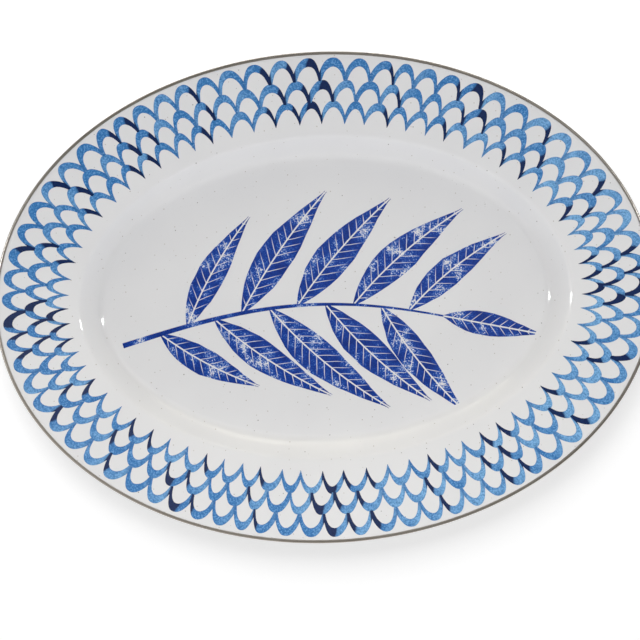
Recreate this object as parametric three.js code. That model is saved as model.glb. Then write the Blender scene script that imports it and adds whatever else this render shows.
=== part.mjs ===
// Oval serving platter: pressed sheet steel, a fired enamel coat on each side, and a stainless strip
// rolled over the edge. Millimetres, +Z up. The origin is the middle of the flat underside and +X runs
// along the platter's length.
import * as THREE from "three";

// Size over the rim band
const PLATTER_LENGTH = 406;
const PLATTER_WIDTH = 302;

// Section of the serving face, given between the corners where its straight lines would meet
const RIM_WIDTH = 51.5;
const RIM_RISE = 9;
const WALL_RUN = 11.5;
const WELL_DEPTH = 14;
const SHOULDER_RADIUS = 5;
const COVE_RADIUS = 7;

// Layers, from the serving face down
const FACE_ENAMEL_THICKNESS = 0.3;
const STEEL_THICKNESS = 0.9;
const BACK_ENAMEL_THICKNESS = 0.3;

// Rim band: a strip folded round the bare edge, with its two ends butted together
const BAND_THICKNESS = 0.3;
const BAND_LAP = 0.7;
const BAND_CLEARANCE = 0.1;
const BAND_JOINT_GAP = 0.3;

// Facets
const STATIONS = 72;
const ARC_DIVISIONS = 2;
const NOSE_DIVISIONS = 3;

// Depths of the layer boundaries below the serving face
const STEEL_TOP = FACE_ENAMEL_THICKNESS;
const STEEL_UNDERSIDE = STEEL_TOP + STEEL_THICKNESS;
const UNDERSIDE = STEEL_UNDERSIDE + BACK_ENAMEL_THICKNESS;

// Slopes of the two straight runs of the section
const rimSlope = Math.atan2(RIM_RISE, RIM_WIDTH);
const wallSlope = Math.atan2(WELL_DEPTH, WALL_RUN);

// Unit vectors along the rim, outwards, and square to it, upwards, in the section plane
const rimOutward = new THREE.Vector2(Math.cos(rimSlope), Math.sin(rimSlope));
const rimNormal = new THREE.Vector2(-Math.sin(rimSlope), Math.cos(rimSlope));

// Corners of the section on the short half axis, which also serve for the long one
const halfWidth = PLATTER_WIDTH / 2;
const shoulderCorner = new THREE.Vector2(halfWidth - RIM_WIDTH, UNDERSIDE + WELL_DEPTH);
const coveCorner = new THREE.Vector2(shoulderCorner.x - WALL_RUN, UNDERSIDE);

// Centre of the concave round at the foot of the wall: the floor stays flat up to its radius
const coveCentre = new THREE.Vector2(
  coveCorner.x - COVE_RADIUS * Math.tan(wallSlope / 2),
  UNDERSIDE + COVE_RADIUS,
);

// Centre of the convex round at the top of the wall, found along the bisector of its corner
const shoulderBisector = (rimSlope + wallSlope) / 2;
const shoulderReach = SHOULDER_RADIUS / Math.cos((wallSlope - rimSlope) / 2);
const shoulderCentre = new THREE.Vector2(
  shoulderCorner.x + shoulderReach * Math.sin(shoulderBisector),
  shoulderCorner.y - shoulderReach * Math.cos(shoulderBisector),
);

// The band's round nose touches the platter's outline, and the layers end square at the nose's centre
const slotHalfHeight = UNDERSIDE / 2 + BAND_CLEARANCE;
const noseRadius = slotHalfHeight + BAND_THICKNESS;
const edgeRadius = halfWidth - noseRadius;
const edgeReach = edgeRadius - shoulderCorner.x + (UNDERSIDE / 2) * rimNormal.x;
const faceEdge = shoulderCorner
  .clone()
  .addScaledVector(rimOutward, edgeReach / rimOutward.x);
const edgeCentre = faceEdge.clone().addScaledVector(rimNormal, -UNDERSIDE / 2);

// Section line at a depth below the serving face, from the middle of the floor out to the edge
function layerLine(depth) {
  const upright = Math.PI / 2;
  const floorMiddle = new THREE.Vector2(0, UNDERSIDE - depth);
  const edge = faceEdge.clone().addScaledVector(rimNormal, -depth);
  const coveRadius = COVE_RADIUS + depth;
  const shoulderRadius = SHOULDER_RADIUS - depth;
  const line = new THREE.Path();
  line.absarc(
    coveCentre.x,
    coveCentre.y,
    coveRadius,
    -upright,
    wallSlope - upright,
    false,
  );
  line.absarc(
    shoulderCentre.x,
    shoulderCentre.y,
    shoulderRadius,
    upright + wallSlope,
    upright + rimSlope,
    true,
  );
  line.lineTo(edge.x, edge.y);
  return [floorMiddle, ...line.getPoints(ARC_DIVISIONS)];
}

// Closed section of a layer between two depths, counter-clockwise from the middle of its underside
function layerSection(topDepth, undersideDepth) {
  return [...layerLine(undersideDepth), ...layerLine(topDepth).reverse()];
}

// Line round the edge at a distance from the layers' middle plane, in the rim's own directions: from the
// lower leg's tip round the nose to the upper leg's tip
function foldLine(distance) {
  const nose = new THREE.Path();
  nose.absarc(0, 0, distance, -Math.PI / 2, Math.PI / 2, false);
  return [
    new THREE.Vector2(-BAND_LAP, -distance),
    ...nose.getPoints(NOSE_DIVISIONS),
    new THREE.Vector2(-BAND_LAP, distance),
  ];
}

// Closed section of the band: its outside, then its slot on the way back
function bandSection() {
  const outline = [...foldLine(noseRadius), ...foldLine(slotHalfHeight).reverse()];
  return outline.map(({ x, y }) =>
    edgeCentre.clone().addScaledVector(rimOutward, x).addScaledVector(rimNormal, y),
  );
}

// A section point carried round to an angle on the oval. Beyond the floor the length's surplus over the
// width is added whole, so the rim and wall are as wide at the ends as at the sides.
function ovalPoint(point, angle) {
  const surplus = (PLATTER_LENGTH - PLATTER_WIDTH) / 2;
  const share = Math.min(1, point.x / coveCentre.x);
  return [
    (point.x + surplus * share) * Math.cos(angle),
    point.x * Math.sin(angle),
    point.y,
  ];
}

// Solid swept round the oval from a counter-clockwise section. Every quad is split from its outer ring to
// its inner ring in the same sense, so two layers that share a section line share their triangles too.
function ovalSolid(section, angles, isRing) {
  const rings = section.length;
  const columns = angles.length;
  const positions = angles.flatMap((angle) =>
    section.flatMap((point) => ovalPoint(point, angle)),
  );
  const vertex = (column, ring) => (column % columns) * rings + (ring % rings);
  const indices = [];
  const spans = isRing ? columns : columns - 1;
  for (let column = 0; column < spans; column += 1) {
    for (let ring = 0; ring < rings; ring += 1) {
      const near = vertex(column, ring);
      const nearNext = vertex(column, ring + 1);
      const far = vertex(column + 1, ring);
      const farNext = vertex(column + 1, ring + 1);
      const radius = section[ring].x;
      const nextRadius = section[(ring + 1) % rings].x;
      const runsInward = radius > nextRadius;
      if (radius > 0) indices.push(near, far, runsInward ? farNext : nearNext);
      if (nextRadius > 0) indices.push(runsInward ? near : far, farNext, nearNext);
    }
  }
  if (!isRing) {
    for (const [a, b, c] of THREE.ShapeUtils.triangulateShape(section, [])) {
      indices.push(vertex(0, a), vertex(0, b), vertex(0, c));
      indices.push(
        vertex(columns - 1, a),
        vertex(columns - 1, c),
        vertex(columns - 1, b),
      );
    }
  }
  const geometry = new THREE.BufferGeometry();
  geometry.setAttribute("position", new THREE.Float32BufferAttribute(positions, 3));
  geometry.setIndex(indices);
  geometry.computeVertexNormals();
  return geometry;
}

// Station angles round the oval. The band starts and stops at its joint, at the +X end.
const ringAngles = Array.from(
  { length: STATIONS },
  (_, station) => (station * 2 * Math.PI) / STATIONS,
);
const jointAngle = Math.asin(BAND_JOINT_GAP / 2 / halfWidth);
const bandAngles = [jointAngle, ...ringAngles.slice(1), 2 * Math.PI - jointAngle];

const bareSteel = new THREE.MeshStandardMaterial({
  color: 0x5d6064,
  roughness: 0.5,
  metalness: 1,
});
const whiteEnamel = new THREE.MeshStandardMaterial({
  color: 0xe4e4e2,
  roughness: 0.12,
  metalness: 0,
});
const stainless = new THREE.MeshStandardMaterial({
  color: 0xb9b4ab,
  roughness: 0.25,
  metalness: 1,
});

const platter = new THREE.Group();
platter.name = "oval_platter";

// Adds one named piece to the platter
function addPiece(name, geometry, material) {
  const mesh = new THREE.Mesh(geometry, material);
  mesh.name = name;
  platter.add(mesh);
}

addPiece(
  "steel_body",
  ovalSolid(layerSection(STEEL_TOP, STEEL_UNDERSIDE), ringAngles, true),
  bareSteel,
);
addPiece(
  "face_enamel",
  ovalSolid(layerSection(0, STEEL_TOP), ringAngles, true),
  whiteEnamel,
);
addPiece(
  "back_enamel",
  ovalSolid(layerSection(STEEL_UNDERSIDE, UNDERSIDE), ringAngles, true),
  whiteEnamel,
);
addPiece("rim_band", ovalSolid(bandSection(), bandAngles, false), stainless);

export default platter;
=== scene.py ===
# %% [markdown]
# # Oval serving platter
# The real platter is one sheet of steel pressed to an oval dish. A coat of glass is fired on each side,
# a printed border of scales is fired into the face, and a stainless strip is rolled over the bare edge.
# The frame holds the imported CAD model, in metres. Every piece here rides on it and stays in its box.

# %% Load the fixed frame
import math
import random
from functools import partial

import bmesh
import bpy
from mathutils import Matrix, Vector


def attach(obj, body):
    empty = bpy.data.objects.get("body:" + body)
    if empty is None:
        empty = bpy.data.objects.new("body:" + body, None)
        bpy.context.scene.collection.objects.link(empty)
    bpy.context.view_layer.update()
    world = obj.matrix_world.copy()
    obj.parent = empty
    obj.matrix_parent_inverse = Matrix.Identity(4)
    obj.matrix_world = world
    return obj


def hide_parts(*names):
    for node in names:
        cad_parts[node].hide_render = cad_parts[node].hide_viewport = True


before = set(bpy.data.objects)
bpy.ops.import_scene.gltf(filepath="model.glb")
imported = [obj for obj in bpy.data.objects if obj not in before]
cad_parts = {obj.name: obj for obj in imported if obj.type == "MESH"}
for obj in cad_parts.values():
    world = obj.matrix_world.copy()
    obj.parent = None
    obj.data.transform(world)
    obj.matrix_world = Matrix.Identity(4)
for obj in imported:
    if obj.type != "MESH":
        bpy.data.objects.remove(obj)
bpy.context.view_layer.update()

MM = 0.001

# %% [markdown]
# ## Working with nodes
# Shapes that follow a rule are made with Geometry Nodes and finishes with shader nodes. Both kinds of
# tree are filled by the same small function, so that each line below reads as one node with what goes
# into it. What goes in is named by socket, or listed in the order of the sockets: the terms of a sum,
# the parts of a vector, or a map range's value, the range that it lies in and the range that it is sent
# to, which is 0 to 1 if left out.

# %% One way to add a node
MATH, VECTOR_MATH, MAP_RANGE = "ShaderNodeMath", "ShaderNodeVectorMath", "ShaderNodeMapRange"
MIX, NOISE, BUMP = "ShaderNodeMix", "ShaderNodeTexNoise", "ShaderNodeBump"
SPLIT, COMBINE = "ShaderNodeSeparateXYZ", "ShaderNodeCombineXYZ"
STORE, FACT = "GeometryNodeStoreNamedAttribute", "GeometryNodeInputNamedAttribute"
# Unless its line says otherwise, a sum of a, b and c is a times b plus c, and a mix is of two colours
USUAL = {MATH: {"operation": "MULTIPLY_ADD"}, MIX: {"data_type": "RGBA"}}


def linear(hex_colour):
    """Linear RGBA of an sRGB colour written as #RRGGBB."""
    channels = [int(hex_colour[i : i + 2], 16) / 255 for i in (1, 3, 5)]
    return (*(c / 12.92 if c <= 0.04045 else ((c + 0.055) / 1.055) ** 2.4 for c in channels), 1.0)


def feed(node, inputs):
    """Links nodes and sockets to a node's inputs, and sets numbers and colours on them."""
    for key, value in inputs.items() if isinstance(inputs, dict) else enumerate(inputs):
        named = [socket for socket in node.inputs if socket.enabled and socket.name == key]
        target = named[0] if named else node.inputs[key]
        if isinstance(value, bpy.types.Node):
            value = next(socket for socket in value.outputs if socket.enabled)
        if isinstance(value, bpy.types.NodeSocket):
            node.id_data.links.new(value, target)
        elif isinstance(value, str) and value.startswith("#"):
            target.default_value = linear(value)
        else:
            target.default_value = value


def add_node(tree, kind, inputs=(), **options):
    """Adds a node, sets its options, then feeds its inputs by name or in order."""
    node = tree.nodes.new(kind)
    for option, value in {**USUAL.get(kind, {}), **options}.items():
        setattr(node, option, value)
    feed(node, inputs)
    return node


def count_nodes(owner):
    """Prints how many nodes a shape tree, a material or a world has by now."""
    print(owner.name, "nodes:", len(getattr(owner, "node_tree", owner).nodes))


# %% Meshes and objects
def mesh_with_facts(name, points, edges=(), faces=(), **facts):
    """A mesh whose points carry named numbers."""
    mesh = bpy.data.meshes.new(name)
    mesh.from_pydata(points, edges, faces)
    for fact, values in facts.items():
        mesh.attributes.new(fact, "FLOAT", "POINT").data.foreach_set("value", values)
    return mesh


def add_object(name, data):
    """Puts a mesh, a lamp or a camera into the scene."""
    thing = bpy.data.objects.new(name, data)
    bpy.context.collection.objects.link(thing)
    return thing


# %% Starting and ending a tree of shape nodes, and growing a piece with it
SHARP_FROM = math.radians(40)


def start_shape_tree(name, **sizes):
    """An empty Geometry Nodes tree, a function that adds nodes to it, and its named inputs."""
    tree = bpy.data.node_groups.new(name, "GeometryNodeTree")
    for kind, labels in {"Geometry": ["Geometry"], **sizes, "Material": ["Finish"]}.items():
        for label in labels:
            tree.interface.new_socket(label, in_out="INPUT", socket_type="NodeSocket" + kind)
    tree.interface.new_socket("Geometry", in_out="OUTPUT", socket_type="NodeSocketGeometry")
    return tree, partial(add_node, tree), tree.nodes.new("NodeGroupInput").outputs


def end_shape_tree(tree, shape, finish):
    """Shades a shape smooth up to its sharp edges, makes it real and gives it its finish."""
    add = partial(add_node, tree)
    smooth = add("GeometryNodeSetShadeSmooth", {"Geometry": shape}, domain="FACE")
    sharp = add("FunctionNodeCompare", {
        "A": add("GeometryNodeInputMeshEdgeAngle"), "B": SHARP_FROM,
    }, data_type="FLOAT", operation="GREATER_THAN")
    creased = add("GeometryNodeSetShadeSmooth", {
        "Geometry": smooth, "Selection": sharp, "Shade Smooth": False}, domain="EDGE")
    real = add("GeometryNodeRealizeInstances", {"Geometry": creased})
    finished = add("GeometryNodeSetMaterial", {"Geometry": real, "Material": finish})
    add("NodeGroupOutput", {"Geometry": finished})
    count_nodes(tree)


def grow(name, tree, start, settings):
    """Runs a tree on a start mesh and keeps the result as a plain mesh piece."""
    piece = add_object(name, start)
    modifier = piece.modifiers.new(tree.name, "NODES")
    modifier.node_group = tree
    for item in tree.interface.items_tree:
        if item.in_out == "INPUT" and item.name in settings:
            modifier[item.identifier] = settings[item.name]
    depsgraph = bpy.context.evaluated_depsgraph_get()
    mesh = bpy.data.meshes.new_from_object(
        piece.evaluated_get(depsgraph), preserve_all_data_layers=True, depsgraph=depsgraph
    )
    piece.modifiers.clear()
    piece.data = mesh
    mesh.name = name
    print(name, "faces:", len(mesh.polygons), "points:", len(mesh.vertices))
    return piece


# %% [markdown]
# ## White vitreous enamel
# Enamel is glass frit fired on steel. It flows as it melts, so it is very smooth and glossy, with a
# faint ripple like orange peel. Small dark grains of the ground coat show through the white as sparse
# specks. The pattern reads Object coordinates, so the same finish serves both coats.

# %% Starting a finish
def start_finish(name):
    """A new material, a function that adds nodes to it, its shader and its Object coordinates."""
    finish = bpy.data.materials.new(name)
    finish.use_nodes = True
    add = partial(add_node, finish.node_tree)
    place = add("ShaderNodeTexCoord").outputs["Object"]
    return finish, add, finish.node_tree.nodes["Principled BSDF"], place


def per_mm(size):
    """Texture scale that gives a feature of this size in millimetres."""
    return 1 / (size * MM)


# %% White enamel finish
ENAMEL_PALE, ENAMEL_SHADE = "#E6E6E7", "#DEDEE0"
SPECK_DARK, SPECK_TAN = "#4A443D", "#A0978A"
GLASS_IOR, ENAMEL_ROUGHNESS = 1.52, (0.05, 0.11)
# Fine tan grains lie a few millimetres apart, and dark ones further apart. Each cell of the Voronoi
# pattern holds one grain, and its random colour decides how large that grain is.
GRAINS = ((SPECK_TAN, 6.5, 0.46), (SPECK_DARK, 15.0, 0.5))
EMPTY_CELLS, GRAIN_CORE, GRAIN_COVER = 0.45, 0.35, 0.8

white_enamel, add, glaze, place = start_finish("fired_white_enamel")
cloud = add(NOISE, {"Vector": place, "Scale": per_mm(45), "Detail": 2.0})
coat_colour = add(MIX, {"Factor": cloud, "A": ENAMEL_SHADE, "B": ENAMEL_PALE})
for colour, apart, largest in GRAINS:
    cells = add("ShaderNodeTexVoronoi", {
        "Vector": place, "Scale": per_mm(apart)}, voronoi_dimensions="2D")
    chance = add("ShaderNodeSeparateColor", {"Color": cells.outputs["Color"]})
    radius = add(MAP_RANGE, (chance, EMPTY_CELLS, 1.0, 0.0, largest / apart))
    core = add(MATH, (radius, GRAIN_CORE), operation="MULTIPLY")
    grain = add(MAP_RANGE, (cells.outputs["Distance"], core, radius, GRAIN_COVER, 0.0))
    coat_colour = add(MIX, {"Factor": grain, "A": coat_colour, "B": colour})
haze = add(NOISE, {"Vector": place, "Scale": per_mm(18), "Detail": 3.0})
gloss = add(MAP_RANGE, (haze, 0.0, 1.0, *ENAMEL_ROUGHNESS))
peel = add(NOISE, {"Vector": place, "Scale": per_mm(5), "Detail": 1.0})
ripple = add(BUMP, {"Strength": 0.25, "Distance": 0.05 * MM, "Height": peel})
feed(glaze, {"Base Color": coat_colour, "Roughness": gloss, "Normal": ripple, "IOR": GLASS_IOR})
count_nodes(white_enamel)

# %% [markdown]
# ## Pressed steel
# The sheet is sealed between the coats and can't be seen on a whole platter. It still gets the finish
# of cold-rolled, pickled steel: a dull grey metal with a mottle from the acid bath.

# %% Pickled steel finish
STEEL_DARK, STEEL_PALE, STEEL_ROUGHNESS = "#54575B", "#6E7175", (0.42, 0.6)

pickled_steel, add, metal, place = start_finish("pickled_cold_rolled_steel")
mottle = add(NOISE, {"Vector": place, "Scale": per_mm(9), "Detail": 4.0})
tone = add(MIX, {"Factor": mottle, "A": STEEL_DARK, "B": STEEL_PALE})
dull = add(MAP_RANGE, (mottle, 0.0, 1.0, *STEEL_ROUGHNESS))
feed(metal, {"Base Color": tone, "Roughness": dull, "Metallic": 1.0})
count_nodes(pickled_steel)

# %% [markdown]
# ## Stainless strip
# The strip is bright-rolled stainless steel. Rolling leaves fine lines along its length, which stretch
# highlights across it. The lines follow the strip, so they read its own UV map: U runs round the
# platter and V runs over the fold. Real lines are a few hundredths of a millimetre wide, too fine to
# show here, so they are drawn about a tenth of a millimetre wide.

# %% Bright rolled stainless finish
STAINLESS_WARM, STAINLESS_PALE, STAINLESS_ROUGHNESS = "#B0A9A0", "#CFCBC6", (0.22, 0.36)
LINE_LENGTH, LINE_WIDTH = 30.0, 0.12

bright_strip, add, metal, place = start_finish("bright_rolled_stainless")
stretch = add("ShaderNodeMapping", {
    "Vector": add("ShaderNodeUVMap", uv_map="strip_track"),
    "Scale": (per_mm(LINE_LENGTH), per_mm(LINE_WIDTH), 1.0)})
lines = add(NOISE, {"Vector": stretch, "Scale": 1.0, "Detail": 2.0})
smear = add(NOISE, {"Vector": place, "Scale": per_mm(14), "Detail": 3.0})
tint = add(MIX, {"Factor": smear, "A": STAINLESS_WARM, "B": STAINLESS_PALE})
brushed = add(MAP_RANGE, (lines, 0.0, 1.0, *STAINLESS_ROUGHNESS))
scored = add(BUMP, {"Strength": 0.06, "Distance": 0.02 * MM, "Height": lines})
feed(metal, {"Base Color": tint, "Roughness": brushed, "Normal": scored, "Metallic": 1.0})
count_nodes(bright_strip)

# %% [markdown]
# ## The dish
# One section line describes the whole face: a flat floor, a concave round up to the wall, a convex
# round over the shoulder and a straight rim. The sheet and the coats are that line moved down by the
# thickness above it, with the rounds growing or shrinking by the same amount. A lathe would carry the
# line round a circle. Here a tree carries it round an oval whose length is longer by the same surplus
# at every radius beyond the floor, so the rim is as wide at the ends as at the sides.

# %% Sizes of the section, in millimetres
PLATTER_LENGTH, PLATTER_WIDTH = 406.0, 302.0
RIM_WIDTH, RIM_RISE = 51.5, 9.0
WALL_RUN, WELL_DEPTH = 11.5, 14.0
SHOULDER_RADIUS, COVE_RADIUS = 5.0, 7.0
FACE_COAT, STEEL_SHEET, BACK_COAT = 0.3, 0.9, 0.3
STEEL_TOP = FACE_COAT
STEEL_UNDERSIDE = STEEL_TOP + STEEL_SHEET
UNDERSIDE = STEEL_UNDERSIDE + BACK_COAT
BAND_THICKNESS, BAND_LAP, BAND_CLEARANCE, BAND_JOINT_GAP = 0.3, 0.7, 0.1, 0.3

rim_slope = math.atan2(RIM_RISE, RIM_WIDTH)
wall_slope = math.atan2(WELL_DEPTH, WALL_RUN)
rim_outward = Vector((math.cos(rim_slope), math.sin(rim_slope)))
rim_normal = Vector((-rim_outward.y, rim_outward.x))
half_length, half_width = PLATTER_LENGTH / 2, PLATTER_WIDTH / 2
shoulder_corner = Vector((half_width - RIM_WIDTH, UNDERSIDE + WELL_DEPTH))
cove_corner = Vector((shoulder_corner.x - WALL_RUN, UNDERSIDE))
cove_centre = Vector((cove_corner.x - COVE_RADIUS * math.tan(wall_slope / 2), UNDERSIDE + COVE_RADIUS))
bisector = (rim_slope + wall_slope) / 2
shoulder_reach = SHOULDER_RADIUS / math.cos((wall_slope - rim_slope) / 2)
shoulder_centre = shoulder_corner + shoulder_reach * Vector((math.sin(bisector), -math.cos(bisector)))
slot_half_height = UNDERSIDE / 2 + BAND_CLEARANCE
nose_radius = slot_half_height + BAND_THICKNESS
edge_reach = half_width - nose_radius - shoulder_corner.x + UNDERSIDE / 2 * rim_normal.x
face_edge = shoulder_corner + rim_outward * (edge_reach / rim_outward.x)
edge_centre = face_edge - rim_normal * (UNDERSIDE / 2)
print("floor half width:", round(cove_centre.x, 2), "face edge:", [round(v, 2) for v in face_edge])

# %% The section line at a depth below the face
FLOOR_STEPS, WALL_STEPS, RIM_STEPS, ROUND_STEPS = 9, 3, 7, 8
UPRIGHT = math.pi / 2


def arc(centre, radius, start, end, steps):
    """Points of an arc in the section plane, ends included."""
    angles = [start + (end - start) * i / steps for i in range(steps + 1)]
    return [centre + radius * Vector((math.cos(a), math.sin(a))) for a in angles]


def straight(start, end, steps):
    """Points between two points of the section, without the ends."""
    return [start.lerp(end, i / steps) for i in range(1, steps)]


def layer_line(depth):
    """The face line moved down by a depth, from the middle of the floor to the edge."""
    middle = Vector((0.0, UNDERSIDE - depth))
    cove = arc(cove_centre, COVE_RADIUS + depth, -UPRIGHT, wall_slope - UPRIGHT, ROUND_STEPS)
    shoulder = arc(
        shoulder_centre, SHOULDER_RADIUS - depth, UPRIGHT + wall_slope, UPRIGHT + rim_slope, ROUND_STEPS
    )
    edge = face_edge - rim_normal * depth
    return [
        middle, *straight(middle, cove[0], FLOOR_STEPS),
        *cove, *straight(cove[-1], shoulder[0], WALL_STEPS),
        *shoulder, *straight(shoulder[-1], edge, RIM_STEPS), edge,
    ]


def section_mesh(name, points):
    """A start mesh that holds the points of a section in order, in the XZ plane."""
    return mesh_with_facts(name, [(p.x * MM, 0.0, p.y * MM) for p in points])


print("points on a section line:", len(layer_line(0.0)))

# %% [markdown]
# The tree lays a grid whose rows are the points of the section and whose columns are angles round the
# oval. Each grid point looks its section point up by row and is moved to its place. Merging by distance
# then closes the seam and the two poles. A strip with open ends keeps them for the next step to close.

# %% Tree that carries a section round the oval
MERGE_WITHIN = 0.001 * MM
oval_tree, add, size = start_shape_tree(
    "carry_round_oval", Int=("Columns", "Closing Rows"),
    Float=("Surplus", "Floor Radius", "First Angle", "Last Angle"))
section = size["Geometry"]
count = add("GeometryNodeAttributeDomainSize", {"Geometry": section}).outputs["Point Count"]
rows = add(MATH, (count, size["Closing Rows"]), operation="ADD")
stations = add(MATH, (size["Columns"], 1.0), operation="ADD")
grid = add("GeometryNodeMeshGrid", {
    "Size X": 1.0, "Size Y": 1.0, "Vertices X": stations, "Vertices Y": rows})
position = add("GeometryNodeInputPosition")
spot = add(SPLIT, {"Vector": position}).outputs
last_row = add(MATH, (rows, 1.0), operation="SUBTRACT")
row_share = add(MATH, (spot["Y"], 0.5), operation="ADD")
row_number = add(MATH, (row_share, last_row), operation="MULTIPLY")
row = add(MATH, (row_number,), operation="ROUND")
point = add(MATH, (row, count), operation="MODULO")
on_section = add("GeometryNodeSampleIndex", {
    "Geometry": section, "Value": position, "Index": point}, data_type="FLOAT_VECTOR")
drawn = add(SPLIT, {"Vector": on_section}).outputs
angle = add(MAP_RANGE, (spot["X"], -0.5, 0.5, size["First Angle"], size["Last Angle"]))
share = add(MATH, (drawn["X"], size["Floor Radius"]), operation="DIVIDE", use_clamp=True)
reach = add(MATH, (size["Surplus"], share, drawn["X"]))
cosine, sine = (add(MATH, (angle,), operation=wave) for wave in ("COSINE", "SINE"))
placed = add(COMBINE, {
    "X": add(MATH, (reach, cosine), operation="MULTIPLY"),
    "Y": add(MATH, (drawn["X"], sine), operation="MULTIPLY"),
    "Z": drawn["Z"]})
tracked = add(STORE, {
    "Geometry": grid.outputs["Mesh"], "Name": "strip_track", "Value": grid.outputs["UV Map"],
}, data_type="FLOAT2", domain="CORNER")
bent = add("GeometryNodeSetPosition", {"Geometry": tracked, "Position": placed})
closed = add("GeometryNodeMergeByDistance", {"Geometry": bent, "Distance": MERGE_WITHIN})
end_shape_tree(oval_tree, closed, size["Finish"])

# %% The sheet and its two coats
OVAL_COLUMNS = 288
oval_sizes = {
    "Columns": OVAL_COLUMNS, "Surplus": (half_length - half_width) * MM,
    "Floor Radius": cove_centre.x * MM, "First Angle": 0.0, "Last Angle": math.tau, "Closing Rows": 0,
}
dish_layers = (
    ("pressed_sheet", "steel_body", "steel", STEEL_TOP, STEEL_UNDERSIDE, pickled_steel),
    ("face_coat", "face_enamel", "face_enamel", 0.0, STEEL_TOP, white_enamel),
    ("back_coat", "back_enamel", "back_enamel", STEEL_UNDERSIDE, UNDERSIDE, white_enamel),
)
layers = {}
for name, node, slot, top, underside, finish in dish_layers:
    # A layer's section runs out along its underside and back along its top
    outline = section_mesh(name, [*layer_line(underside), *reversed(layer_line(top))])
    layers[name] = grow(name, oval_tree, outline, {**oval_sizes, "Finish": finish})
    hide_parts(node)

# %% [markdown]
# ## The rim band
# The strip is folded round the edge of the three layers into a narrow C and its two ends meet in a butt
# joint. The same tree carries the C round the oval, from one side of the joint to the other, and the
# two open ends are then filled.

# %% Rim band
NOSE_STEPS = 14


def fold_line(distance):
    """Line round the edge at a distance from the middle plane, from the lower leg to the upper leg."""
    nose = arc(Vector((0.0, 0.0)), distance, -UPRIGHT, UPRIGHT, NOSE_STEPS)
    return [Vector((-BAND_LAP, -distance)), *nose, Vector((-BAND_LAP, distance))]


fold = [*fold_line(nose_radius), *reversed(fold_line(slot_half_height))]
band_section = section_mesh("rim_strip", [
    edge_centre + rim_outward * p.x + rim_normal * p.y for p in fold])
joint_angle = math.asin(BAND_JOINT_GAP / 2 / half_width)
rim_strip = grow("rim_strip", oval_tree, band_section, {
    **oval_sizes, "First Angle": joint_angle, "Last Angle": math.tau - joint_angle,
    "Closing Rows": 1, "Finish": bright_strip})

# %% Close the two ends of the strip
work = bmesh.new()
work.from_mesh(rim_strip.data)
open_edges = [edge for edge in work.edges if edge.is_boundary]
ends = bmesh.ops.holes_fill(work, edges=open_edges)["faces"]
bmesh.ops.triangulate(work, faces=ends)
bmesh.ops.recalc_face_normals(work, faces=work.faces)
work.to_mesh(rim_strip.data)
print("ends closed:", len(ends), "volume in mm3:", round(work.calc_volume() / MM**3, 1))
work.free()
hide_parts("rim_band")

# %% Lay out the strip's pattern in metres: once round the outline and once over the fold
round_oval = math.pi * MM * (3 * (half_width + half_length) - math.sqrt(
    (3 * half_width + half_length) * (half_width + 3 * half_length)))
fold_length = sum((a - b).length for a, b in zip(fold, fold[1:])) * MM
for corner in rim_strip.data.uv_layers["strip_track"].data:
    corner.uv = (corner.uv.x * round_oval, corner.uv.y * fold_length)
print("outline in mm:", round(round_oval / MM, 1), "fold in mm:", round(fold_length / MM, 1))

# %% [markdown]
# ## Printed scales
# The border is a transfer print of brushed scales in watercolour blues, fired into the coat. Each scale
# is an arch with a broad crown, and its two legs run down to the crowns of the next row. Every second
# or third arch has one leg loaded with dark paint. The print stands a few hundredths of a millimetre
# proud of the face.

# %% Fired watercolour print: the blues
BLUE_LIGHT, BLUE_MID, BLUE_DEEP, BLUE_DRY = "#7DB4E2", "#4182C0", "#205290", "#94C0EA"
NAVY, NAVY_WASH, PRINT_ROUGHNESS = "#0A1A40", "#132A58", (0.1, 0.2)
# How much the paint pools and deepens along a stroke, and how far its dark wash slants and bleeds
POOLING, DEEPENING, SLANT, BLEEDING = 0.9, 0.24, 0.22, 0.24

scale_print, add, paint, place = start_finish("fired_watercolour_print")
leg, across, tone, navy_from, navy_before = (
    add("ShaderNodeAttribute", attribute_name=name).outputs["Fac"]
    for name in ("leg", "across", "tone", "navy_from", "navy_before"))
wash = add(NOISE, {"Vector": place, "Scale": per_mm(5), "Detail": 2.0})
grains = add(NOISE, {"Vector": place, "Scale": per_mm(1.1), "Detail": 2.0, "Roughness": 0.7})
# The tone of a scale also carries a painted highlight: the blue is paler past the right end of the
# platter.
pool = add(MATH, (wash, POOLING, tone))
# A loaded brush leaves more paint as it slows, so a stroke grows deeper towards its right leg
graded = add(MATH, (leg, DEEPENING, pool))
pooled = add(MAP_RANGE, (graded, 0.35, 1.15))
blue = add(MIX, {"Factor": pooled, "A": BLUE_LIGHT, "B": BLUE_MID})
# Pigment settles into darker grains, and gathers along a stroke's edges and where two feet run together
settled = add(MAP_RANGE, (grains, 0.44, 0.66, 0.0, 0.62))
from_middle = add(MATH, (across, 0.5), operation="SUBTRACT")
to_edge = add(MATH, (from_middle,), operation="ABSOLUTE")
edged = add(MAP_RANGE, (to_edge, 0.34, 0.5, 0.0, 0.4))
to_foot = add(MATH, (leg,), operation="ABSOLUTE")
footed = add(MAP_RANGE, (to_foot, 0.72, 0.96, 0.0, 0.6))
gathered = add(MATH, (edged, footed), operation="MAXIMUM")
count_nodes(scale_print)

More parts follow.
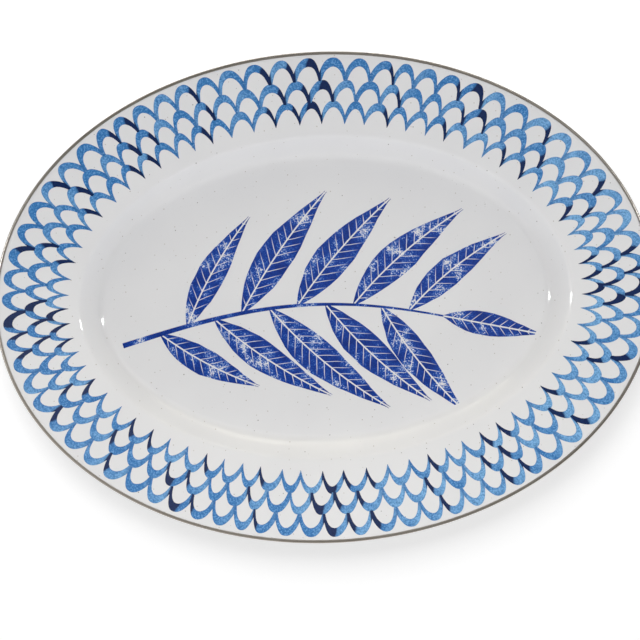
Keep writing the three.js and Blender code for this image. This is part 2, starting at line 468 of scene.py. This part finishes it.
# %% Fired watercolour print: the dark wash
# It starts at a place along the arch, a little aslant, and bleeds into the blue before it
slanted = add(MATH, (across, SLANT, leg))
bleed = add(MATH, (wash, BLEEDING, slanted))
past = add(MATH, (bleed, navy_from), operation="SUBTRACT")
seeped = add(MAP_RANGE, (past, -0.2, 0.1, 0.0, 0.75))
wetted = add(MATH, (gathered, seeped), operation="MAXIMUM")
deepened = add(MATH, (wetted, settled), operation="MAXIMUM")
grained = add(MIX, {"Factor": deepened, "A": blue, "B": BLUE_DEEP})
dry = add(MAP_RANGE, (grains, 0.47, 0.32, 0.0, 0.5))
broken = add(MIX, {"Factor": dry, "A": grained, "B": BLUE_DRY})
dark_leg = add(MAP_RANGE, (past, -0.02, 0.1))
foot = add(MAP_RANGE, (leg, -0.86, -0.94))
dark_foot = add(MATH, (foot, navy_before), operation="MULTIPLY")
dark = add(MATH, (dark_leg, dark_foot), operation="MAXIMUM")
ink = add(MIX, {"Factor": settled, "A": NAVY_WASH, "B": NAVY})
painted = add(MIX, {"Factor": dark, "A": broken, "B": ink})


def fire_print(add, paint, colour, grain):
    """Ends a print: its colour under a glassy sheen that follows the grain, with a slight tooth."""
    sheen = add(MAP_RANGE, (grain, 0.0, 1.0, *PRINT_ROUGHNESS))
    tooth = add(BUMP, {"Strength": 0.15, "Distance": 0.02 * MM, "Height": grain})
    feed(paint, {"Base Color": colour, "Roughness": sheen, "Normal": tooth, "IOR": GLASS_IOR})


fire_print(add, paint, painted, grains)
count_nodes(scale_print)

# %% [markdown]
# One scale is drawn once as a thin slip of paint in its own cell: X runs from foot to foot, -1 to 1,
# and Y from the top of the crown, 0, to the tip of the feet, 1. The outer edge is a round arch. The
# inner edge starts below the crown and flares out to the feet. In the outer rows the feet stay broad
# and run into the crowns below. In the last row they are free, so its crown is thinner and its legs
# taper to points.

# %% A slip of paint
# Across a slip: share of the way from one edge to the other, and height
SLIP_SECTION = ((0.0, 0.6), (0.5, 1.0), (1.0, 0.6), (1.0, -1.0), (0.0, -1.0))
RING = len(SLIP_SECTION)


def slip_faces(first, steps):
    """Faces between the rings of a slip, counted from its first point, and over its two ends."""
    faces = []
    for near in range(first, first + steps * RING, RING):
        for j in range(RING):
            k = (j + 1) % RING
            faces.append((near + j, near + k, near + RING + k, near + RING + j))
    last = first + steps * RING
    return [*faces, tuple(reversed(range(first, first + RING))), tuple(range(last, last + RING))]


# %% One brushed scale
STROKE_STEPS = 18
NOTCH_DEPTH, ARCH_SQUARENESS, ARCH_FALL = 0.66, 2.4, 0.92


def scale_stroke(name, crown, foot_depth, foot_start, flare):
    """One arch-shaped stroke, with its place across the stroke as an attribute."""
    points, across = [], []
    for step in range(STROKE_STEPS + 1):
        leg = -math.cos(math.pi * step / STROKE_STEPS)
        outer = NOTCH_DEPTH * (1 - max(0.0, 1 - abs(leg) ** ARCH_SQUARENESS) ** ARCH_FALL)
        to_foot = min(1.0, abs(leg) / foot_start)
        inner = crown + (foot_depth - crown) * (1 - (1 - to_foot**2) ** flare)
        for share, height in SLIP_SECTION:
            points.append((leg, outer + (inner - outer) * share, height))
            across.append(share)
    return add_object(name, mesh_with_facts(
        name, points, faces=slip_faces(0, STROKE_STEPS), across=across))


stroke = scale_stroke("scale_stroke", crown=0.39, foot_depth=1.05, foot_start=0.82, flare=0.58)
last_stroke = scale_stroke("last_row_stroke", crown=0.345, foot_depth=1.06, foot_start=0.97, flare=0.85)
print("faces of one scale:", len(stroke.data.polygons))

# %% [markdown]
# The transfer comes in two equal halves of 36 scales to a row. A start mesh holds one point for each
# scale with its row, its place in the row and where its dark wash begins. The list of dark legs follows
# the photograph. In a few narrow scales the wash begins on the crown.

# %% Where each scale goes
SCALES_PER_HALF, SCALE_ROWS = 36, 3
DARK_LEGS = {2, 5, 8, 9, 12, 15, 16, 17, 20, 23, 24, 27, 30, 33, 34, 35}
DARK_LEGS_LAST_ROW = DARK_LEGS - {24} | {26}
DARK_CROWNS = {17, 24, 35}
WASH_BEGINS, WASH_BEGINS_LAST_ROW, WASH_ON_CROWN = (0.6, 0.78), (0.5, 0.66), (-0.2, 0.1)
NO_WASH = 3.0
# Crowns lean back along the row near the start of a half and forwards past its middle
LEAN, LEAN_SWING, LEAN_BACK_MOST, LEAN_CHANCE = 0.06, 0.1, 5, 0.12
SCALE_SEED = 7

seeded = random.Random(SCALE_SEED)
scale_facts = {name: [] for name in ("row", "place", "motif", "navy_from", "navy_before", "lean")}
for row in range(SCALE_ROWS):
    in_last_row = row == SCALE_ROWS - 1
    dark_legs = DARK_LEGS_LAST_ROW if in_last_row else DARK_LEGS
    wash_begins = WASH_BEGINS_LAST_ROW if in_last_row else WASH_BEGINS
    numbers = range(SCALES_PER_HALF)
    begins = [seeded.uniform(*wash_begins) if n in dark_legs else NO_WASH for n in numbers]
    for number in dark_legs & DARK_CROWNS:
        begins[number] = seeded.uniform(*WASH_ON_CROWN)
    swings = [math.cos(math.tau * (n - LEAN_BACK_MOST) / SCALES_PER_HALF) for n in numbers]
    lean = [LEAN - LEAN_SWING * swing + seeded.uniform(-LEAN_CHANCE, LEAN_CHANCE) for swing in swings]
    for place in range(2 * SCALES_PER_HALF):
        number = place % SCALES_PER_HALF
        after_dark = float((number - 1) % SCALES_PER_HALF in dark_legs)
        facts = (row, place, row * SCALES_PER_HALF + number, begins[number], after_dark, lean[number])
        for values, value in zip(scale_facts.values(), facts):
            values.append(value)
scale_points = mesh_with_facts(
    "scale_border", [(0.0, 0.0, 0.0)] * len(scale_facts["row"]), **scale_facts)
print("scales:", len(scale_points.vertices))

# %% [markdown]
# The tree puts a stroke on every point, then bends all of them into the border. The place along a row
# is warped by a smooth noise that repeats after each half, because no two painted scales are equally
# wide. A point on the outline is found by length, moved inwards by the row and the depth in the cell,
# and dropped on the face by a ray from above.

# %% Tree that lays the scales on the rim: a stroke on every point
border_tree, add, size = start_shape_tree(
    "lay_scales_on_rim", Object=("Stroke", "Last Stroke", "Face"), Int=("Seed",),
    Float=("Half Length", "Half Width", "Per Half", "Start", "Drift", "Edge Gap", "Row Pitch",
           "Last Row Shift", "Swell", "Uneven", "Warp", "Wobble", "Paler", "Relief"))
row, place, motif, lean, across = (
    add(FACT, {"Name": name}) for name in ("row", "place", "motif", "lean", "across"))
third = add(MATH, (row, 1.0), operation="SUBTRACT", use_clamp=True)
outer_row = add(MATH, (1.0, third), operation="SUBTRACT")
all_strokes = add("GeometryNodeJoinGeometry")
for kind, chosen in (("Stroke", outer_row), ("Last Stroke", third)):
    drawn_once = add("GeometryNodeObjectInfo", {"Object": size[kind]})
    strokes = add("GeometryNodeInstanceOnPoints", {
        "Points": size["Geometry"], "Selection": chosen, "Instance": drawn_once.outputs["Geometry"]})
    feed(all_strokes, {"Geometry": strokes})
real = add("GeometryNodeRealizeInstances", {"Geometry": all_strokes})
cell = add(SPLIT, {"Vector": add("GeometryNodeInputPosition")}).outputs
leg = cell["X"]
kept_leg = add(STORE, {"Geometry": real, "Name": "leg", "Value": leg})
count_nodes(border_tree)

# %% Place along the row, counted in scales
WARP_CIRCLE, ROW_APART = 4.6, 0.1
WIDENINGS, WIDEST = 3.0, 4.0
# Every second row is shifted by half a scale
odd = add(MATH, (row, 2.0), operation="MODULO")
shifted = add(MATH, (odd, 0.5, place))
spread = add(MATH, (leg, leg), operation="MULTIPLY")
crown = add(MATH, (1.0, spread), operation="SUBTRACT")
leaning = add(MATH, (lean, crown, leg))
halfway = add(MATH, (leaning, 0.5, shifted))
turn = add(MATH, (halfway, size["Per Half"]), operation="DIVIDE")
turn_angle = add(MATH, (turn, math.tau), operation="MULTIPLY")
loop = add(COMBINE, {
    "X": add(MATH, (turn_angle,), operation="COSINE"),
    "Y": add(MATH, (turn_angle,), operation="SINE"),
    "Z": add(MATH, (row, ROW_APART, size["Seed"]))})
uneven = add(NOISE, {"Vector": loop, "Scale": WARP_CIRCLE, "Detail": 0.0})
pushed = add(MATH, (uneven, 0.5), operation="SUBTRACT")
warped = add(MATH, (pushed, size["Warp"], halfway))
# Three times in each half the scales grow a little wider and narrower again
wide_from = -math.tau * WIDENINGS * WIDEST / SCALES_PER_HALF
wide_angle = add(MATH, (turn_angle, WIDENINGS, wide_from))
widening = add(MATH, (wide_angle,), operation="SINE")
widened = add(MATH, (widening, size["Uneven"], warped))
started = add(MATH, (widened, size["Start"]), operation="ADD")
count_nodes(border_tree)

# %% Place round the outline, the tone of each scale and a painted highlight at the right end
DRIFT_PEAK, PALEST, OUTLINE_POINTS = 0.58, 0.56, 512
PALE_TONE, DEEP_TONE = 0.3, 0.95
# The transfer was stretched a little on its way round, most of all past the far end
halves = add(MATH, (started, size["Per Half"]), operation="DIVIDE")
swing = add(MATH, (halves, math.pi, -math.tau * DRIFT_PEAK))
wave = add(MATH, (swing,), operation="COSINE")
raised = add(MATH, (wave, 0.5, 0.5))
bump = add(MATH, (raised, 2.0), operation="POWER")
drifted = add(MATH, (bump, size["Drift"], started))
laid = add(MATH, (drifted, size["Per Half"]), operation="DIVIDE")
rounds = add(MATH, (laid, 0.5), operation="MULTIPLY")
lap = add(MATH, (rounds,), operation="FRACT")
# Every scale has its own depth of wash. Past the right end of the platter the blue is made paler: a
# painted highlight for the glare that falls there.
from_palest = add(MATH, (lap, math.tau, -math.tau * PALEST))
facing = add(MATH, (from_palest,), operation="COSINE", use_clamp=True)
own_tone = add("FunctionNodeRandomValue", {
    "Min": PALE_TONE, "Max": DEEP_TONE, "ID": motif, "Seed": size["Seed"]})
thinned = add(MATH, (facing, size["Paler"]), operation="MULTIPLY")
tone = add(MATH, (own_tone, thinned), operation="SUBTRACT")
toned = add(STORE, {"Geometry": kept_leg, "Name": "tone", "Value": tone})
# The outline runs clockwise from the left end, so the inward side is on its right
circle = add("GeometryNodeCurvePrimitiveCircle", {"Resolution": OUTLINE_POINTS, "Radius": 1.0})
leftwards = add(MATH, (size["Half Length"], -1.0), operation="MULTIPLY")
oval = add("GeometryNodeTransform", {
    "Geometry": circle.outputs["Curve"],
    "Scale": add(COMBINE, {"X": leftwards, "Y": size["Half Width"], "Z": 1.0})})
on_outline = add("GeometryNodeSampleCurve", {
    "Curves": oval, "Factor": lap}, mode="FACTOR", use_all_curves=False)
along = add(SPLIT, {"Vector": on_outline.outputs["Tangent"]}).outputs
inward = add(COMBINE, {"X": along["Y"], "Y": add(MATH, (along["X"], -1.0), operation="MULTIPLY")})
count_nodes(border_tree)

# %% Depth from the outline, and down on the face
THINNER, THICKER = -0.05, 0.04
SWELL_PEAK = 0.85
SHAKES_PER_SCALE = 3.0
RAY_HEIGHT = 0.1
ROW_STEP = -0.12
# The width of each stroke and its edge are a little uneven
next_seed = add(MATH, (size["Seed"], 1.0), operation="ADD")
weight = add("FunctionNodeRandomValue", {
    "Min": THINNER, "Max": THICKER, "ID": motif, "Seed": next_seed})
full = add(MATH, (weight, crown), operation="MULTIPLY")
thicker = add(MATH, (full, across, cell["Y"]))
row_top = add(MATH, (third, size["Last Row Shift"], row))
in_rows = add(MATH, (thicker, row_top), operation="ADD")
swell_angle = add(MATH, (halves, math.tau, -math.tau * SWELL_PEAK))
swelling = add(MATH, (swell_angle,), operation="COSINE")
gap = add(MATH, (swelling, size["Swell"], size["Edge Gap"]))
depth = add(MATH, (in_rows, size["Row Pitch"], gap))
hand = add(NOISE, {
    "Vector": add(COMBINE, (halfway, in_rows)), "Scale": SHAKES_PER_SCALE, "Detail": 1.0})
shake = add(MATH, (hand, 0.5), operation="SUBTRACT")
shaken = add(MATH, (shake, size["Wobble"], depth))
step_in = add(VECTOR_MATH, {0: inward, "Scale": shaken}, operation="SCALE")
over = add(VECTOR_MATH, (on_outline.outputs["Position"], step_in), operation="ADD")
above = add(VECTOR_MATH, (over, (0.0, 0.0, RAY_HEIGHT)), operation="ADD")
face = add("GeometryNodeObjectInfo", {"Object": size["Face"]})
ray = add("GeometryNodeRaycast", {
    "Target Geometry": face.outputs["Geometry"], "Source Position": above,
    "Ray Direction": (0.0, 0.0, -1.0), "Ray Length": 2 * RAY_HEIGHT}).outputs
# Each row lies a shade lower than the one outside it, whose feet run over its crowns
stacked = add(MATH, (row, ROW_STEP, cell["Z"]))
height = add(MATH, (stacked, size["Relief"]), operation="MULTIPLY")
proud = add(VECTOR_MATH, {0: ray["Hit Normal"], "Scale": height}, operation="SCALE")
landed = add(VECTOR_MATH, (ray["Hit Position"], proud), operation="ADD")
bent = add("GeometryNodeSetPosition", {"Geometry": toned, "Position": landed})
end_shape_tree(border_tree, bent, size["Finish"])


# %% Lay the border
def face_outwards(piece):
    """Turns a closed piece over if it came out inside out, and prints its volume."""
    work = bmesh.new()
    work.from_mesh(piece.data)
    volume = work.calc_volume(signed=True)
    work.free()
    if volume < 0:
        piece.data.flip_normals()
    print("volume of the print in mm3:", round(abs(volume) / MM**3, 1))


PRINT_RELIEF = 0.06 * MM
scale_border = grow("scale_border", border_tree, scale_points, {
    "Stroke": stroke, "Last Stroke": last_stroke, "Face": layers["face_coat"],
    "Half Length": half_length * MM, "Half Width": half_width * MM, "Per Half": SCALES_PER_HALF,
    "Start": 0.6, "Drift": 0.6, "Edge Gap": 4.1 * MM, "Row Pitch": 13.45 * MM, "Last Row Shift": -0.065,
    "Swell": 0.5 * MM, "Uneven": 0.13, "Warp": 0.25, "Wobble": 0.5 * MM, "Paler": 0.5,
    "Relief": PRINT_RELIEF, "Seed": 3, "Finish": scale_print})
bpy.data.objects.remove(stroke)
bpy.data.objects.remove(last_stroke)
face_outwards(scale_border)

# %% [markdown]
# ## Leaf print in the well
# The middle of the well carries a leafy sprig in cobalt, made like a nature print: a leaf is inked and
# pressed, so its veins stay white and its ink breaks into fine dots. Each blade is drawn once as two
# halves with a bare midrib between them, and a tree sets the blades along a bent stem.

# %% Cobalt leaf print
COBALT, COBALT_DEEP, COBALT_WASH = "#1747A8", "#0B2C7C", "#5C87CB"

leaf_print, add, paint, place = start_finish("cobalt_leaf_print")
vein, rim = (
    add("ShaderNodeAttribute", attribute_name=name).outputs["Fac"] for name in ("vein", "rim"))
blot = add(NOISE, {"Vector": place, "Scale": per_mm(11), "Detail": 3.0})
dots = add(NOISE, {"Vector": place, "Scale": per_mm(0.9), "Detail": 3.0, "Roughness": 0.65})
pressed = add(MATH, (blot, 1.1, dots))
body = add(MAP_RANGE, (pressed, 0.85, 1.3))
ink = add(MIX, {"Factor": body, "A": COBALT, "B": COBALT_DEEP})
thin = add(MAP_RANGE, (pressed, 0.98, 0.84))
washed = add(MIX, {"Factor": thin, "A": ink, "B": COBALT_WASH})
bare = add(MAP_RANGE, (pressed, 0.86, 0.80))
wander = add(MATH, (blot, 0.5, vein))
between = add(MATH, (wander, 1.0), operation="PINGPONG")
vein_line = add(MAP_RANGE, (between, 0.13, 0.05))
fading = add(MAP_RANGE, (rim, 0.95, 0.5))
drawn_vein = add(MATH, (vein_line, fading), operation="MULTIPLY")
uninked = add(MATH, (bare, drawn_vein), operation="MAXIMUM")
printed = add(MIX, {"Factor": uninked, "A": washed, "B": ENAMEL_SHADE})
fire_print(add, paint, printed, dots)
count_nodes(leaf_print)

# %% One leaf blade in two halves
BLADE_STEPS = 18
BLADE_TIP, BLADE_BASE_SHARE, BLADE_TAPER = 0.03, 0.8, 1.15


def leaf_blade():
    """Mesh of a blade of length 1 and half breadth 1, with its half as an attribute."""
    points, halves, rims, faces = [], [], [], []
    for half in (-1.0, 1.0):
        made = slip_faces(len(points), BLADE_STEPS)
        faces += made if half < 0 else [face[::-1] for face in made]
        for step in range(BLADE_STEPS + 1):
            way = 0.5 - 0.5 * math.cos(math.pi * step / BLADE_STEPS)
            breadth = max(BLADE_TIP, math.sin(math.pi * way**BLADE_BASE_SHARE) ** BLADE_TAPER)
            for share, height in SLIP_SECTION:
                points.append((way, breadth * share, height))
                halves.append(half)
                rims.append(share)
    return mesh_with_facts("leaf_blade", points, faces=faces, half=halves, rim=rims)


blade = add_object("leaf_blade", leaf_blade())
print("faces of one blade:", len(blade.data.polygons))

# %% The stem and where each leaf sits on it
STEM_FROM, STEM_LENGTH, STEM_RISE, STEM_BOW = Vector((-127.0, -24.0)), 200.0, 20.0, 0.85
STEM_STEPS = 60
LEAVES = 11
LEAF_LENGTH, LEAF_BREADTH, LEAF_CHANCE = 92.0, 10.4, (0.95, 1.05)
LEAF_TURN, LEAF_DROOP = (51, 57), (0.12, 0.2)
FIRST_LEAF, LEAVES_SPAN = 0.12, 0.86
FULLNESS_FROM, FULLNESS_SPAN = 0.16, 0.72
LEAF_SEED = 11

stem_points = []
for step in range(STEM_STEPS + 1):
    way = step / STEM_STEPS
    x = STEM_FROM.x + STEM_LENGTH * way
    y = STEM_FROM.y + STEM_RISE * math.sin(STEM_BOW * math.pi * way)
    stem_points.append((x * MM, y * MM, UNDERSIDE * MM))
stem = add_object("stem", mesh_with_facts(
    "stem", stem_points, edges=[(i, i + 1) for i in range(STEM_STEPS)]))
seeded = random.Random(LEAF_SEED)
leaf_facts = {"reach": [], "turn": [], "length": [], "breadth": [], "droop": []}
for leaf in range(LEAVES):
    way = leaf / (LEAVES - 1)
    last = leaf == LEAVES - 1
    side = 0 if last else (1 if leaf % 2 else -1)
    fullness = 0.5 + 0.5 * math.sin(math.pi * (FULLNESS_FROM + FULLNESS_SPAN * way))
    leaf_facts["reach"].append(1.0 if last else FIRST_LEAF + LEAVES_SPAN * way)
    leaf_facts["turn"].append(side * math.radians(seeded.uniform(*LEAF_TURN)))
    leaf_facts["length"].append(LEAF_LENGTH * fullness * seeded.uniform(*LEAF_CHANCE) * MM)
    leaf_facts["breadth"].append(LEAF_BREADTH * fullness * seeded.uniform(*LEAF_CHANCE) * MM)
    leaf_facts["droop"].append(-side * seeded.uniform(*LEAF_DROOP))
leaf_points = mesh_with_facts("leaf_sprig", [(0.0, 0.0, 0.0)] * LEAVES, **leaf_facts)
print("leaves:", LEAVES)

# %% Tree that sets the blades along the stem
sprig_tree, add, size = start_shape_tree(
    "set_leaves_on_stem", Object=("Blade", "Stem"),
    Float=("Floor Height", "Relief", "Midrib", "Vein Spacing", "Stem Width", "Wobble"))
one_blade, stem_edges = (
    add("GeometryNodeObjectInfo", {"Object": size[kind]}).outputs["Geometry"]
    for kind in ("Blade", "Stem"))
stem_line = add("GeometryNodeMeshToCurve", {"Mesh": stem_edges})
blades = add("GeometryNodeInstanceOnPoints", {"Points": size["Geometry"], "Instance": one_blade})
real = add("GeometryNodeRealizeInstances", {"Geometry": blades})
reach, turn, length, breadth, droop, half = (
    add(FACT, {"Name": name}) for name in ("reach", "turn", "length", "breadth", "droop", "half"))
cell = add(SPLIT, {"Vector": add("GeometryNodeInputPosition")}).outputs
base = add("GeometryNodeSampleCurve", {
    "Curves": stem_line, "Factor": reach}, mode="FACTOR", use_all_curves=False).outputs
count_nodes(sprig_tree)

# %% Where each point of a blade lies
RAGGED_SCALE = 9.0
# A leaf heads off at its turn from the stem's own direction, and its sides lie a quarter turn further
headings = [base["Tangent"]]
for angle in (turn, UPRIGHT):
    turned = add("FunctionNodeAxisAngleToRotation", {"Axis": (0, 0, 1), "Angle": angle})
    headings.append(add("FunctionNodeRotateVector", {"Vector": headings[-1], "Rotation": turned}))
_, heading, sideways = headings
forth = add(MATH, (cell["X"], length), operation="MULTIPLY")
rough = add(NOISE, {
    "Vector": add(COMBINE, (cell["X"], half, reach)), "Scale": RAGGED_SCALE, "Detail": 2.0})
uneven = add(MATH, (rough, 0.5), operation="SUBTRACT")
ragged = add(MATH, (uneven, size["Wobble"]), operation="MULTIPLY")
wide = add(MATH, (breadth, ragged), operation="ADD")
off_rib = add(MATH, (cell["Y"], wide, size["Midrib"]))
on_side = add(MATH, (off_rib, half), operation="MULTIPLY")
bend = add(MATH, (cell["X"], droop), operation="MULTIPLY")
bow = add(MATH, (bend, forth, on_side))
run = add(MATH, (forth, off_rib), operation="SUBTRACT")
veins = add(MATH, (run, size["Vein Spacing"]), operation="DIVIDE")
veined = add(STORE, {"Geometry": real, "Name": "vein", "Value": veins})
step_out = add(VECTOR_MATH, {0: heading, "Scale": forth}, operation="SCALE")
step_side = add(VECTOR_MATH, {0: sideways, "Scale": bow}, operation="SCALE")
flat = add(VECTOR_MATH, (step_out, step_side), operation="ADD")
set_out = add(VECTOR_MATH, (flat, base["Position"]), operation="ADD")
level = add(SPLIT, {"Vector": set_out}).outputs
height = add(MATH, (cell["Z"], size["Relief"], size["Floor Height"]))
landed = add(COMBINE, (level["X"], level["Y"], height))
set_blades = add("GeometryNodeSetPosition", {"Geometry": veined, "Position": landed})
count_nodes(sprig_tree)

# %% The stem is a flat slip of paint that narrows towards its tip
STEM_TIP = 0.35
upright_line = add("GeometryNodeSetCurveNormal", {"Curve": stem_line}, mode="Z_UP")
along_stem = add("GeometryNodeSplineParameter").outputs["Factor"]
narrowing = add(MAP_RANGE, (along_stem, 0.0, 1.0, 1.0, STEM_TIP))
tapered = add("GeometryNodeSetCurveRadius", {"Curve": upright_line, "Radius": narrowing})
slip = add("GeometryNodeCurvePrimitiveQuadrilateral", {
    "Width": size["Stem Width"],
    "Height": add(MATH, (size["Relief"], 2.0), operation="MULTIPLY")})
stem_slip = add("GeometryNodeCurveToMesh", {
    "Curve": tapered, "Profile Curve": slip, "Scale": narrowing, "Fill Caps": True})
joined = add("GeometryNodeJoinGeometry")
for part in (set_blades, stem_slip):
    feed(joined, {"Geometry": part})
end_shape_tree(sprig_tree, joined, size["Finish"])

# %% Print the sprig
leaf_sprig = grow("leaf_sprig", sprig_tree, leaf_points, {
    "Blade": blade, "Stem": stem, "Floor Height": UNDERSIDE * MM, "Relief": PRINT_RELIEF,
    "Midrib": 0.45 * MM, "Vein Spacing": 3.0 * MM, "Stem Width": 3.2 * MM, "Wobble": 3.0 * MM,
    "Finish": leaf_print})
bpy.data.objects.remove(blade)
bpy.data.objects.remove(stem)
face_outwards(leaf_sprig)

# %% [markdown]
# ## Everything rides on the dish
# The platter has no moving parts, so every piece rides on the frame's one body.

# %% Ride
for piece in (*layers.values(), rim_strip, scale_border, leaf_sprig):
    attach(piece, "root")

# %% [markdown]
# ## Floor, light and camera
# The photograph shows the face square on, so the camera looks straight down with a long lens. The
# platter lies on white paper that adds a little light of its own to camera, glossy and transmission
# rays, so that it reads white and still keeps the shadow.
#
# Two narrow boxes high at the sides give most of the light and draw the short highlights at the ends. A
# box and a strip at the front light the upper wall. A wide strip beyond the top lights the lower wall,
# a thin one under it draws the bright line along that wall, and low strips at the sides light the end
# walls. The paper has a lamp of its own, which makes the soft shadow. Glossy rays see a grey room, dark
# behind and paler in front, with one pale patch overhead, since a real room is darker than this paper.

# %% Floor
FLOOR_SIZE = 16.0
# The paper lies a hair below the foot, so that the two don't share a plane
PAPER_HEIGHT = -0.2 * MM
PAPER_COLOUR, PAPER_GLOW = "#CCCCCC", 0.645
WHITE = "#FFFFFF"

side = FLOOR_SIZE / 2
corners = [(-side, -side), (side, -side), (side, side), (-side, side)]
floor_mesh = mesh_with_facts(
    "studio_floor", [(x, y, PAPER_HEIGHT) for x, y in corners], faces=[(0, 1, 2, 3)])
floor = add_object("studio_floor", floor_mesh)
paper, add, matte, _ = start_finish("white_studio_paper")
rays = add("ShaderNodeLightPath").outputs
direct = add(MATH, (rays["Is Camera Ray"], rays["Is Glossy Ray"]), operation="ADD")
seen = add(MATH, (direct, rays["Is Transmission Ray"]), operation="ADD")
glow = add(MATH, (seen, PAPER_GLOW), operation="MULTIPLY")
feed(matte, {"Base Color": PAPER_COLOUR, "Roughness": 1.0, "Specular IOR Level": 0.0,
             "Emission Color": WHITE, "Emission Strength": glow})
floor_mesh.materials.append(paper)
print("floor in m:", FLOOR_SIZE)

# %% Lights
WARM = "#FFFAE8"
# Name, place and size in metres, power in watts, colour, and whether gloss mirrors the lamp
PLATTER_LAMPS = (
    ("front_box", (0.0, -0.38, 0.5), (0.6, 0.15), 1.15, WHITE, False),
    ("front_strip", (0.0, -1.7, 0.3), (2.4, 0.22), 6.0, WHITE, False),
    ("top_strip", (0.0, 1.7, 0.5), (2.4, 0.8), 11.0, WARM, False),
    ("line_strip", (0.0, 1.7, 0.22), (2.4, 0.06), 4.5, WARM, True),
    ("left_box", (-0.98, 0.14, 1.1), (0.08, 0.6), 4.8, WHITE, True),
    ("right_box", (0.97, 0.18, 1.1), (0.08, 0.6), 5.2, WHITE, True),
    ("left_strip", (-1.7, 0.0, 0.2), (0.15, 1.6), 3.0, WHITE, False),
    ("right_strip", (1.7, 0.0, 0.2), (0.15, 1.6), 2.6, WHITE, False),
)
PAPER_LAMPS = (("paper_lamp", (-0.25, 1.0, 1.6), (1.2, 1.2), 20.5, WHITE, False),)


def soft_box(name, place, size, power, colour, mirrored):
    """A rectangular area lamp that faces the platter."""
    lamp = bpy.data.lights.new(name, "AREA")
    lamp.shape = "RECTANGLE"
    lamp.size, lamp.size_y = size
    lamp.energy = power
    lamp.color = linear(colour)[:3]
    box = add_object(name, lamp)
    box.location = place
    box.rotation_euler = (-Vector(place)).to_track_quat("-Z", "Y").to_euler()
    box.visible_glossy = mirrored
    return box


# The platter's lamps are flagged off the paper, where they would fill the shadow or draw long ones. The
# paper's own lamp is flagged off the platter.
for name, lamps, paper_lit in (
    ("platter_only", PLATTER_LAMPS, "EXCLUDE"),
    ("paper_only", PAPER_LAMPS, "INCLUDE"),
):
    flag = bpy.data.collections.new(name)
    flag.objects.link(floor)
    flag.collection_objects[0].light_linking.link_state = paper_lit
    for lamp in lamps:
        soft_box(*lamp).light_linking.receiver_collection = flag

# %% The room
HORIZON, ZENITH, ROOM_LEVEL = "#CECECE", "#6A6A6A", 1.5
MIRRORED_BACK, MIRRORED_FRONT, MIRRORED_PATCH = "#24211E", "#CFCAC4", "#D2CEC8"
# Where glossy rays see a paler part of the room: its direction, where it starts and is full, and colour
MIRRORED_PARTS = (
    ((-0.75, -0.66, 0.0), -0.1, 0.8, MIRRORED_FRONT),
    ((0.22, 0.25, 0.94), 0.92, 0.98, MIRRORED_PATCH),
)

world = bpy.data.worlds.new("studio")
world.use_nodes = True
tree = world.node_tree
add = partial(add_node, tree)
around = add("ShaderNodeTexCoord").outputs["Generated"]
heading = add(SPLIT, {"Vector": around}).outputs
overhead = add(MAP_RANGE, (heading["Z"], 0.15, 0.35))
room = add(MIX, {"Factor": overhead, "A": HORIZON, "B": ZENITH})
backdrop = tree.nodes["Background"]
feed(backdrop, {"Color": room, "Strength": ROOM_LEVEL})
mirrored_room = MIRRORED_BACK
for direction, start, full, colour in MIRRORED_PARTS:
    facing = add(VECTOR_MATH, (around, direction), operation="DOT_PRODUCT").outputs["Value"]
    lit = add(MAP_RANGE, (facing, start, full))
    mirrored_room = add(MIX, {"Factor": lit, "A": mirrored_room, "B": colour})
mirrored = add("ShaderNodeBackground", {"Color": mirrored_room})
is_glossy = add("ShaderNodeLightPath").outputs["Is Glossy Ray"]
studio = add("ShaderNodeMixShader", (is_glossy, backdrop, mirrored))
feed(tree.nodes["World Output"], {"Surface": studio})
bpy.context.scene.world = world
count_nodes(world)

# %% Camera, placed from the photograph
FRAME_PIXELS = 640
OUTLINE_PIXELS = 661.5
CENTRE_PIXELS = Vector((325.2, 297.3))
ROLL = 0.048
CAMERA_HEIGHT = 1.7
SENSOR_WIDTH = 36.0

rim_height = (edge_centre.y + nose_radius) * MM
frame_width = PLATTER_LENGTH * MM * FRAME_PIXELS / OUTLINE_PIXELS
camera_data = bpy.data.cameras.new("camera")
camera_data.sensor_width = SENSOR_WIDTH
camera_data.lens = SENSOR_WIDTH * (CAMERA_HEIGHT - rim_height) / frame_width
camera = add_object("camera", camera_data)
offset = (CENTRE_PIXELS - Vector((FRAME_PIXELS / 2,) * 2)) * (frame_width / FRAME_PIXELS)
right = Vector((math.cos(ROLL), -math.sin(ROLL)))
up = Vector((math.sin(ROLL), math.cos(ROLL)))
aim = -right * offset.x + up * offset.y
camera.location = (aim.x, aim.y, CAMERA_HEIGHT)
camera.rotation_euler = (0.0, 0.0, -ROLL)
bpy.context.scene.camera = camera
bpy.context.scene.view_settings.view_transform = "Standard"
print("lens in mm:", round(camera_data.lens, 1), "camera at:", [round(v, 4) for v in camera.location])
